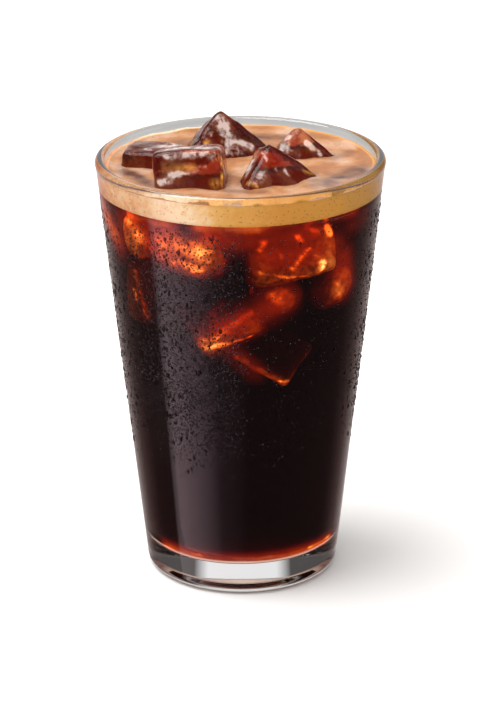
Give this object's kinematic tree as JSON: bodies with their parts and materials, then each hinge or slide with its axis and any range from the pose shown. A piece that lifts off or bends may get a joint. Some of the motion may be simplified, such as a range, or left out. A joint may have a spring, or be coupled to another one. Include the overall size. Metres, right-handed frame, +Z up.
{
  "type": "iced coffee in a glass",
  "caption": "Iced coffee in a conical tumbler: dark coffee, a layer of tan foam, and clear ice cubes that stand above the rim.",
  "frame": {"origin": "middle of the glass's standing ring, on the surface it stands on", "axes": "+Z up along the glass's axis; -Y towards the viewer of the picture, +X to that viewer's right"},
  "size_m": [0.088, 0.088, 0.1417],
  "materials": {
    "clear_glass": "clear polished soda-lime glass",
    "coffee": "dark clear liquid",
    "foam": "fine tan foam with small bubbles",
    "clear_ice": "wet melting ice"
  },
  "bodies": {
    "root": {"glass": "clear_glass", "coffee": "coffee", "foam": "foam", "ice_left": "clear_ice", "ice_front_left": "clear_ice", "ice_back": "clear_ice", "ice_front_right": "clear_ice", "ice_back_right": "clear_ice"}
  },
  "joints": []
}
